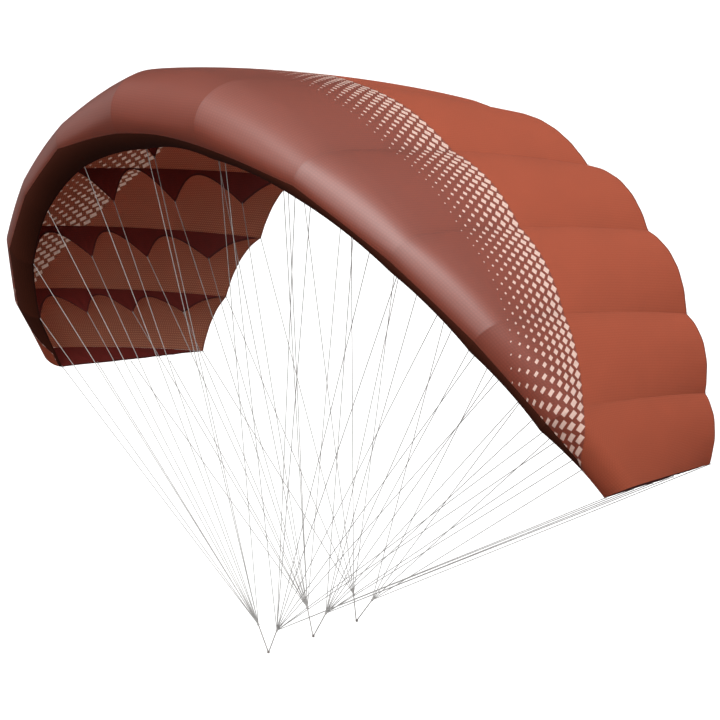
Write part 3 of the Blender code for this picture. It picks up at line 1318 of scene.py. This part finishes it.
@dataclass
class Rig:
    """Sixty lines in six fans, and the three V bridles below them.

    Each line is tied to its rib by a loop through the tooth and a small hitch below it. Each fan is
    gathered by a coiled knot, and a larger coil ends each bridle.
    """

    finishes: Finishes
    line_radius: float = 1.25 * MM
    bridle_radius: float = 1.6 * MM
    line_gap: float = 1.2 * MM
    tail_line_gap: float = 2.4 * MM
    line_points: int = 15
    cord_end: float = 1.5 * MM
    loop_points: int = 18
    loop_radius: float = 3.2 * MM
    loop_narrow: float = 0.6
    loop_cord: float = 0.8 * MM
    hitch_radius: float = 1.1 * MM
    hitch_drop: float = 2.0 * MM
    knot_points: int = 20
    knot_turns: int = 3
    knot_pitch: float = 1.7
    fork_knot_radius: float = 2.8 * MM
    end_knot_radius: float = 2.7 * MM
    end_knot_centre: float = 3.6 * MM
    end_knot_height: float = 8.0 * MM
    bend_points: int = 13
    bend_radius: float = 3.2 * MM
    bend_drop: float = 1.2
    leg_points: int = 10

    def build(self, ribs: Sequence[RibPlane]) -> list[bpy.types.Object]:
        """Build the lines, their loops, the knots and the bridles.

        Args:
            ribs: The planes of every rib.

        Returns:
            The pieces.
        """
        made = []
        for index, bridle in enumerate(CUT.bridles):
            knots = []
            for half in Half:
                knot = self.fork_knot(bridle, half)
                knots.append(knot)
                mine = [rib for rib in ribs if rib.half is half]
                made += [knot, *self.fan(index, bridle, half, mine, knot)]
            made += self.bridle(bridle, knots)
        made += [self.loops(rib) for rib in ribs]
        return made

    @staticmethod
    def fork(bridle: BridleCut, half: Half) -> Array:
        """Where the lines of one half wing gather."""
        return np.array(bridle.fork) * np.array([half.value, 1.0, 1.0])

    def fan(
        self, index: int, bridle: BridleCut, half: Half, ribs: Sequence[RibPlane], knot: bpy.types.Object
    ) -> list[bpy.types.Object]:
        """Build the lines that one fork gathers.

        Args:
            index: The bridle's number.
            bridle: The bridle.
            half: The half wing.
            ribs: That half's ribs.
            knot: The knot at the fork.

        Returns:
            The lines.
        """
        fork, node, made = self.fork(bridle, half), f"{bridle.name}_lines_{half.word}", []
        mine = [hang for hang in CUT.hang_points if hang.bridle == index]
        share = np.linspace(0.0, 1.0, self.line_points)[:, None]
        for rib in ribs:
            for hang in mine:
                top = rib.hang_point(hang)
                down = unit(fork - top)
                gap = self.tail_line_gap if hang is CUT.hang_points[-1] else self.line_gap
                points = (top + down * gap) * (1 - share) + (fork - down * self.cord_end) * share
                name = f"{bridle.name}_line_{half.word}_{len(made) + 1:02d}"
                line = cord_object(name, points, self.line_radius, self.finishes.line)
                settle(line, [node])
                made.append(line)
        return made

    def coil(self, centre: Array, axis: Array, radius: float, cord: float) -> list[Array]:
        """Rings of cord that lie against each other round an axis.

        Args:
            centre: The coil's centre.
            axis: The axis.
            radius: The rings' radius.
            cord: The cord's radius.

        Returns:
            The points of each ring.
        """
        turn = np.array(Vector(axis).to_track_quat("Z", "Y").to_matrix())
        angle = np.linspace(0.0, FULL_TURN, self.knot_points, endpoint=False)
        rings = []
        for i in range(self.knot_turns):
            rise = np.full_like(angle, (i - (self.knot_turns - 1) / 2) * self.knot_pitch * cord)
            flat = np.stack([radius * np.cos(angle), radius * np.sin(angle), rise], axis=-1)
            rings.append(centre + flat @ turn.T)
        return rings

    def fork_knot(self, bridle: BridleCut, half: Half) -> bpy.types.Object:
        """Build the knot that gathers a fan of lines.

        Args:
            bridle: The bridle.
            half: The half wing.

        Returns:
            The knot.
        """
        fork = self.fork(bridle, half)
        rings = self.coil(fork, unit(fork - bridle.end), self.fork_knot_radius, self.line_radius)
        name = f"{bridle.name}_fork_knot_{half.word}"
        return settle(ring_object(name, rings, self.line_radius, self.finishes.line))

    def bridle(self, bridle: BridleCut, knots: Sequence[bpy.types.Object]) -> list[bpy.types.Object]:
        """Build a V bridle as one cord from fork to fork, and the knot at its end.

        Args:
            bridle: The bridle.
            knots: The knots at its two forks.

        Returns:
            The cord and the end knot.
        """
        end, up = np.array(bridle.end), np.array([0.0, 0.0, 1.0])
        angle = np.linspace(math.pi, FULL_TURN, self.bend_points)
        bend = np.stack([np.cos(angle), 0 * angle, self.bend_drop * np.sin(angle)], axis=-1)
        bend = end + self.end_knot_height * up + self.bend_radius * bend
        share = np.linspace(0.0, 1.0, self.leg_points, endpoint=False)[:, None]
        left, right = (
            self.fork(bridle, half) * (1 - share) + foot * share
            for half, foot in zip(Half, (bend[0], bend[-1]))
        )
        points = np.concatenate([left, bend, right[::-1]])
        name = f"{bridle.name}_bridle"
        cord = cord_object(name + "_cord", points, self.bridle_radius, self.finishes.bridle)
        settle(cord, [name])
        centre = end + self.end_knot_centre * up
        rings = self.coil(centre, up, self.end_knot_radius, self.bridle_radius)
        knot = ring_object(
            name + "_end_knot", rings, self.bridle_radius, self.finishes.bridle, foot=bridle.end[2]
        )
        settle(knot)
        return [cord, knot]

    def loops(self, rib: RibPlane) -> bpy.types.Object:
        """Build the small loops and hitches of cord that tie the lines to one rib, as one piece.

        Args:
            rib: The rib's plane.

        Returns:
            The loops.
        """
        angle = np.linspace(0.0, FULL_TURN, self.loop_points, endpoint=False)[:, None]
        side = np.cos(angle) * np.cross(rib.back, rib.up)
        rings = []
        for hang in CUT.hang_points:
            point = rib.hang_point(hang)
            up = unit(point - self.fork(CUT.bridles[hang.bridle], rib.half))
            centre = point + up * (self.loop_radius - self.line_gap)
            rings.append(centre + self.loop_radius * (self.loop_narrow * side + np.sin(angle) * up))
            hitch = side + np.sin(angle) * rib.back
            rings.append(point - self.hitch_drop * up + self.hitch_radius * hitch)
        name = f"rib_{rib.number:02d}_line_loops"
        return settle(ring_object(name, rings, self.loop_cord, self.finishes.line))


# ---------------------------------------------------------------- the studio


class Sun(NamedTuple):
    """A soft light: where it comes from, how strong it is and how many degrees wide."""

    name: str
    source: tuple[float, float, float]
    strength: float
    softness: float


@dataclass
class Studio:
    """The camera, a plain pale floor and soft light.

    The sky's light rises from the first of sky_levels to the second as a direction turns towards
    sky_from, between the two sky_edges.
    """

    camera_place: tuple[float, float, float] = (5.588, -5.830, 2.856)
    camera_yaw: float = 42.80
    camera_pitch: float = -13.41
    lens: float = 129.5
    shift: tuple[float, float] = (0.0061, 0.0022)
    suns: tuple[Sun, ...] = (
        Sun("key", source=(0.46, -0.44, 0.77), strength=3.2, softness=50.0),
        Sun("fill", source=(0.30, -0.93, 0.20), strength=1.62, softness=50.0),
        Sun("rim", source=(-0.93, -0.15, 0.25), strength=0.42, softness=60.0),
    )
    sky_colour: str = "#FFFFFF"
    sky_from: tuple[float, float, float] = (0.32, -0.05, 0.82)
    sky_edges: tuple[float, float] = (0.1, 0.9)
    sky_levels: tuple[float, float] = (0.08, 0.90)
    floor_drop: float = 2.5
    floor_size: float = 400.0
    floor_paint: str = "#F7F7F7"
    floor_roughness: float = 0.9

    def camera(self) -> None:
        """Set up the camera."""
        data = bpy.data.cameras.new("camera")
        data.lens = self.lens
        data.shift_x, data.shift_y = self.shift
        made = bpy.data.objects.new("camera", data)
        made.location = self.camera_place
        made.rotation_euler = Euler(
            (math.radians(90 + self.camera_pitch), 0.0, math.radians(self.camera_yaw))
        )
        bpy.context.scene.collection.objects.link(made)
        bpy.context.scene.camera = made

    def light(self) -> None:
        """Set up a sky that is brighter on one side, and the key, fill and rim lights."""
        bpy.context.scene.view_settings.view_transform = "Standard"
        world = bpy.data.worlds.new("studio_sky")
        bpy.context.scene.world = world
        sky = Tree(world)
        place = sky.add("TexCoord", out="Generated")
        toward = sky.add("VectorMath", (place, self.sky_from), "Value", operation="DOT_PRODUCT")
        level = sky.add("MapRange", (toward, *self.sky_edges, *self.sky_levels), **SMOOTH)
        background = sky.nodes.nodes["Background"]
        sky.feed(background.inputs["Color"], linear(self.sky_colour))
        sky.feed(background.inputs["Strength"], level)
        for sun in self.suns:
            data = bpy.data.lights.new(sun.name, "SUN")
            data.energy = sun.strength
            data.angle = math.radians(sun.softness)
            made = bpy.data.objects.new(sun.name, data)
            made.rotation_euler = Vector(sun.source).to_track_quat("Z", "Y").to_euler()
            bpy.context.scene.collection.objects.link(made)

    def floor(self) -> None:
        """Lay the floor; it sends no light back up, so the wing's underside stays deep."""
        half = self.floor_size / 2
        mesh = bpy.data.meshes.new("floor")
        corners = [(-half, -half, 0.0), (half, -half, 0.0), (half, half, 0.0), (-half, half, 0.0)]
        mesh.from_pydata(corners, [], [(0, 1, 2, 3)])
        paint = Surface("floor_matt_paint")
        paint.set(Base_Color=linear(self.floor_paint), Roughness=self.floor_roughness)
        made = new_object("floor", mesh, [paint.material])
        made.location.z = CAD_BOX[0][2] - self.floor_drop
        made.visible_diffuse = False
        made.visible_glossy = False


# ---------------------------------------------------------------- the whole wing


def main() -> None:
    """Build the camera, the cords, the cloth and the studio."""
    logging.basicConfig(level=logging.INFO, format="%(name)s: %(message)s")
    studio = Studio()
    studio.camera()
    finishes = Finishes()
    ribs = rib_planes()
    cells = [Cell(left, right) for left, right in zip(ribs, ribs[1:])]
    pieces = Rig(finishes).build(ribs)
    pieces += Skin(finishes).build(cells)
    pieces += Ribs(finishes).build(ribs)
    studio.light()
    studio.floor()
    LOG.info("%d pieces", len(pieces))


if __name__ == "__main__":
    main()
